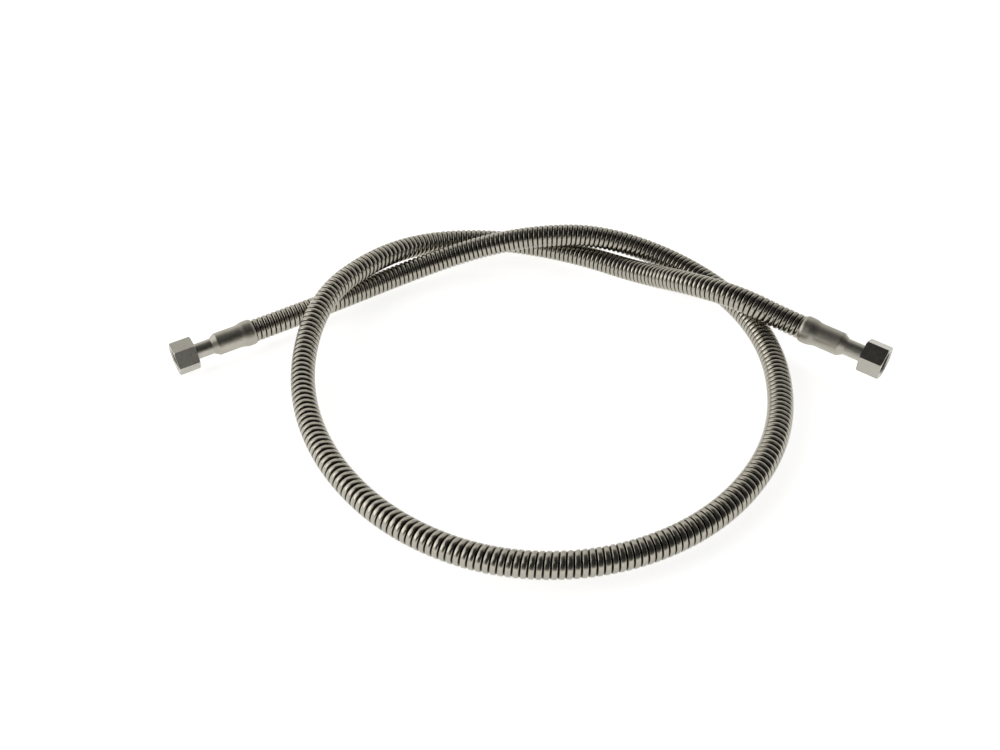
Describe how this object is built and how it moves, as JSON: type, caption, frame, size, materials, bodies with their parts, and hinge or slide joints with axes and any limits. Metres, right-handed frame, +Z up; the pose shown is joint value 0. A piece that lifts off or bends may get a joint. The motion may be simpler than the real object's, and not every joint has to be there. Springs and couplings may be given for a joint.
{
  "type": "vacuum bellows hose",
  "caption": "Metal vacuum bellows hose in stripwound armour with swaged end sleeves and loose hexagon union nuts, lying in a loose overhand knot.",
  "frame": {"origin": "on the floor under the middle of the box round the two end fittings, cord nodes left out", "axes": "+Z up from the floor, +X from the inlet fitting towards the outlet fitting, +Y away from the large loop towards the crossings"},
  "size_m": [0.526, 0.3647, 0.0388],
  "materials": {
    "armour_steel": "formed strip, semi-bright, slightly warm",
    "bellows_steel": "bright drawn corrugations",
    "nut_steel": "machined, satin",
    "tube_steel": "drawn tube, satin",
    "sleeve_steel": "swaged tube, satin",
    "seal_ptfe": "white flat sealing ring"
  },
  "bodies": {
    "hose": {"armour_hose": "armour_steel", "bellows_hose": "bellows_steel", "inlet_seal": "seal_ptfe", "inlet_nipple": "tube_steel", "inlet_end_ring": "tube_steel", "inlet_sleeve": "sleeve_steel", "outlet_seal": "seal_ptfe", "outlet_nipple": "tube_steel", "outlet_end_ring": "tube_steel", "outlet_sleeve": "sleeve_steel"},
    "inlet_nut": {"inlet_union_nut": "nut_steel"},
    "outlet_nut": {"outlet_union_nut": "nut_steel"}
  },
  "joints": [
    {"name": "inlet_nut_turn", "type": "hinge", "parent": "hose", "child": "inlet_nut", "pos_m": [-0.25617, -0.01486, 0.0115], "axis": [0.8251, 0.565, 0], "continuous": true},
    {"name": "outlet_nut_turn", "type": "hinge", "parent": "hose", "child": "outlet_nut", "pos_m": [0.25698, -0.01799, 0.01535], "axis": [-0.8492, 0.5195, 0.0949], "continuous": true}
  ]
}
